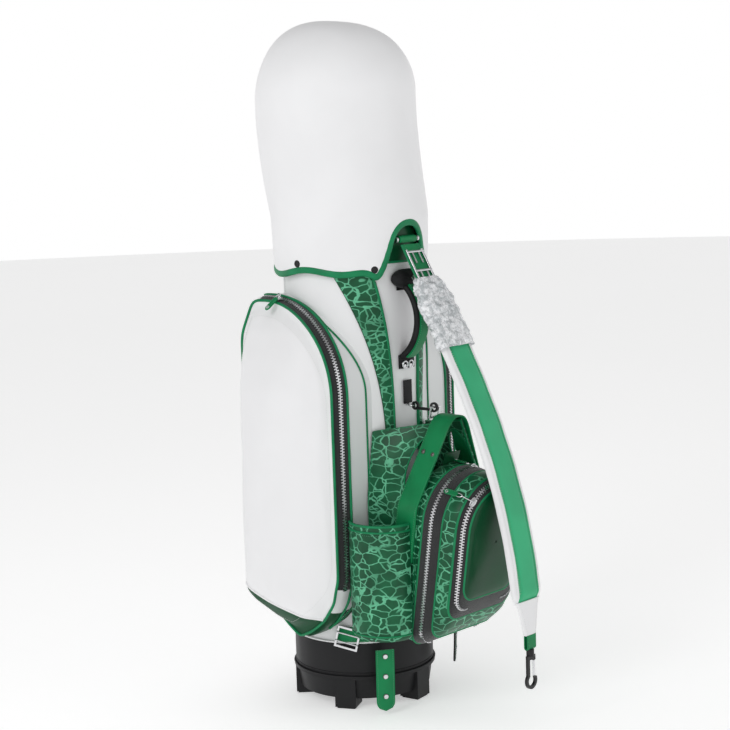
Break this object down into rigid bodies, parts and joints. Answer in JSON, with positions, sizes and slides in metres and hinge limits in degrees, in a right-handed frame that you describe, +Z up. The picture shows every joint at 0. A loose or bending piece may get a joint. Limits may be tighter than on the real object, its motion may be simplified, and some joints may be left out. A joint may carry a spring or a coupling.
{
  "type": "golf staff bag",
  "caption": "Round golf bag with padded shoulder strap and snap hook, side garment pockets, zipped ball pocket, bottle pouches, grab handle and a lift-off travel hood.",
  "frame": {"origin": "centre of the base's underside, on the floor", "axes": "+Z up along the body, -Y towards the ball pocket and shoulder strap, -X towards the bag's left garment pocket"},
  "size_m": [0.4872, 0.5736, 1.2602],
  "materials": {
    "white_leather": "smooth white synthetic leather",
    "pattern_leather": "dark green synthetic leather with fine contour lines",
    "deep_leather": "glossy dark green synthetic leather",
    "belt_leather": "green belt leather with stitched edges",
    "bright_leather": "bright green padded synthetic leather",
    "black_leather": "black synthetic leather",
    "base_plastic": "black moulded plastic",
    "liner_plastic": "black liner sheet",
    "zip_tape": "black woven zip tape",
    "divider_cloth": "fleece-covered divider board",
    "binding": "green bias binding",
    "metal": "polished nickel-plated",
    "black_metal": "black enamelled metal",
    "film": "thin clear wrapping film"
  },
  "bodies": {
    "bag": {"base_cup": "base_plastic", "base_feet": "base_plastic", "base_band": "base_plastic", "body_tube": "liner_plastic", "stay_rods": "black_metal", "front_panel": "white_leather", "side_panel_left": "white_leather", "side_panel_right": "white_leather", "spine_panel": "white_leather", "pattern_panel_left": "pattern_leather", "pattern_panel_right": "pattern_leather", "top_cuff": "deep_leather", "club_divider": "divider_cloth", "garment_gusset_left": "white_leather", "garment_gusset_right": "white_leather", "garment_zip_left": "zip_tape", "garment_zip_right": "zip_tape", "garment_face_left": "white_leather", "garment_face_right": "white_leather", "ball_gusset_rear": "pattern_leather", "ball_zip_rear": "zip_tape", "ball_gusset_middle": "pattern_leather", "ball_zip_front": "zip_tape", "ball_face": "deep_leather", "harness_wing_left": "pattern_leather", "harness_wing_right": "pattern_leather", "harness_strap": "belt_leather", "harness_ring": "metal", "bottle_pouch_left": "pattern_leather", "bottle_pouch_right": "pattern_leather", "handle_base": "black_leather", "handle_grip": "belt_leather", "handle_cap": "black_leather", "tether_tab": "black_leather", "tether_clip": "black_metal", "lower_belt_left": "belt_leather", "lower_belt_right": "belt_leather", "belt_buckle_left": "metal", "belt_buckle_right": "metal", "rivets": "metal", "strap_anchor": "metal"},
    "hood": {"hood_shell": "white_leather", "hood_binding": "binding", "hood_snaps": "black_metal"},
    "shoulder_strap": {"strap_belt": "belt_leather", "strap_buckle": "metal", "strap_pad": "bright_leather", "strap_wrap": "film", "strap_end": "white_leather"},
    "snap_hook": {"hook_body": "black_metal"},
    "snap_gate": {"hook_gate": "metal"},
    "garment_slider_left": {"garment_slider_left": "metal"},
    "garment_slider_right": {"garment_slider_right": "metal"},
    "garment_puller_left": {"garment_puller_left": "belt_leather"},
    "garment_puller_right": {"garment_puller_right": "belt_leather"},
    "ball_slider_rear": {"ball_slider_rear": "metal"},
    "ball_slider_front": {"ball_slider_front": "metal"},
    "ball_puller_rear": {"ball_puller_rear": "belt_leather"},
    "ball_puller_front": {"ball_puller_front": "belt_leather"}
  },
  "joints": [
    {"name": "hood_lift", "type": "slide", "parent": "bag", "child": "hood", "axis": [0, 0, 1], "range_m": [0, 0.5]},
    {"name": "strap_swing", "type": "hinge", "parent": "bag", "child": "shoulder_strap", "pos_m": [0, -0.138, 0.862], "axis": [-1, 0, 0], "range_deg": [0, 80]},
    {"name": "hook_swivel", "type": "hinge", "parent": "shoulder_strap", "child": "snap_hook", "pos_m": [0, -0.397, 0.147], "axis": [0, 0, 1], "continuous": true},
    {"name": "gate_press", "type": "hinge", "parent": "snap_hook", "child": "snap_gate", "pos_m": [0.0085, -0.397, 0.098], "axis": [0, 1, 0], "range_deg": [-22, 0], "stiffness_Nm_per_rad": 0.02, "springref_deg": 2.86},
    {"name": "garment_zip_run_left", "type": "hinge", "parent": "bag", "child": "garment_slider_left", "pos_m": [-0.1415, 0.07, 0.59], "axis": [1, 0, 0], "range_deg": [0, 60]},
    {"name": "garment_zip_run_right", "type": "hinge", "parent": "bag", "child": "garment_slider_right", "pos_m": [0.1415, 0.07, 0.59], "axis": [1, 0, 0], "range_deg": [0, 60]},
    {"name": "garment_pull_left", "type": "hinge", "parent": "garment_slider_left", "child": "garment_puller_left", "pos_m": [-0.1475, 0.0385, 0.76864], "axis": [0, 1, 0], "range_deg": [0, 70]},
    {"name": "garment_pull_right", "type": "hinge", "parent": "garment_slider_right", "child": "garment_puller_right", "pos_m": [0.1475, 0.0385, 0.76864], "axis": [0, -1, 0], "range_deg": [0, 70]},
    {"name": "ball_zip_run_rear", "type": "hinge", "parent": "bag", "child": "ball_slider_rear", "pos_m": [0, -0.25462, 0.36628], "axis": [0, 0.9877, 0.1564], "range_deg": [-16, 12]},
    {"name": "ball_zip_run_front", "type": "hinge", "parent": "bag", "child": "ball_slider_front", "pos_m": [0, -0.30697, 0.35799], "axis": [0, 0.9877, 0.1564], "range_deg": [-30, 32]},
    {"name": "ball_pull_rear", "type": "hinge", "parent": "ball_slider_rear", "child": "ball_puller_rear", "pos_m": [0.01314, -0.26135, 0.45987], "axis": [0.9903, 0.0218, -0.1375], "range_deg": [0, 20]},
    {"name": "ball_pull_front", "type": "hinge", "parent": "ball_slider_front", "child": "ball_puller_front", "pos_m": [-0.07015, -0.30895, 0.42163], "axis": [0.6691, -0.1163, 0.734], "range_deg": [0, 80]}
  ]
}
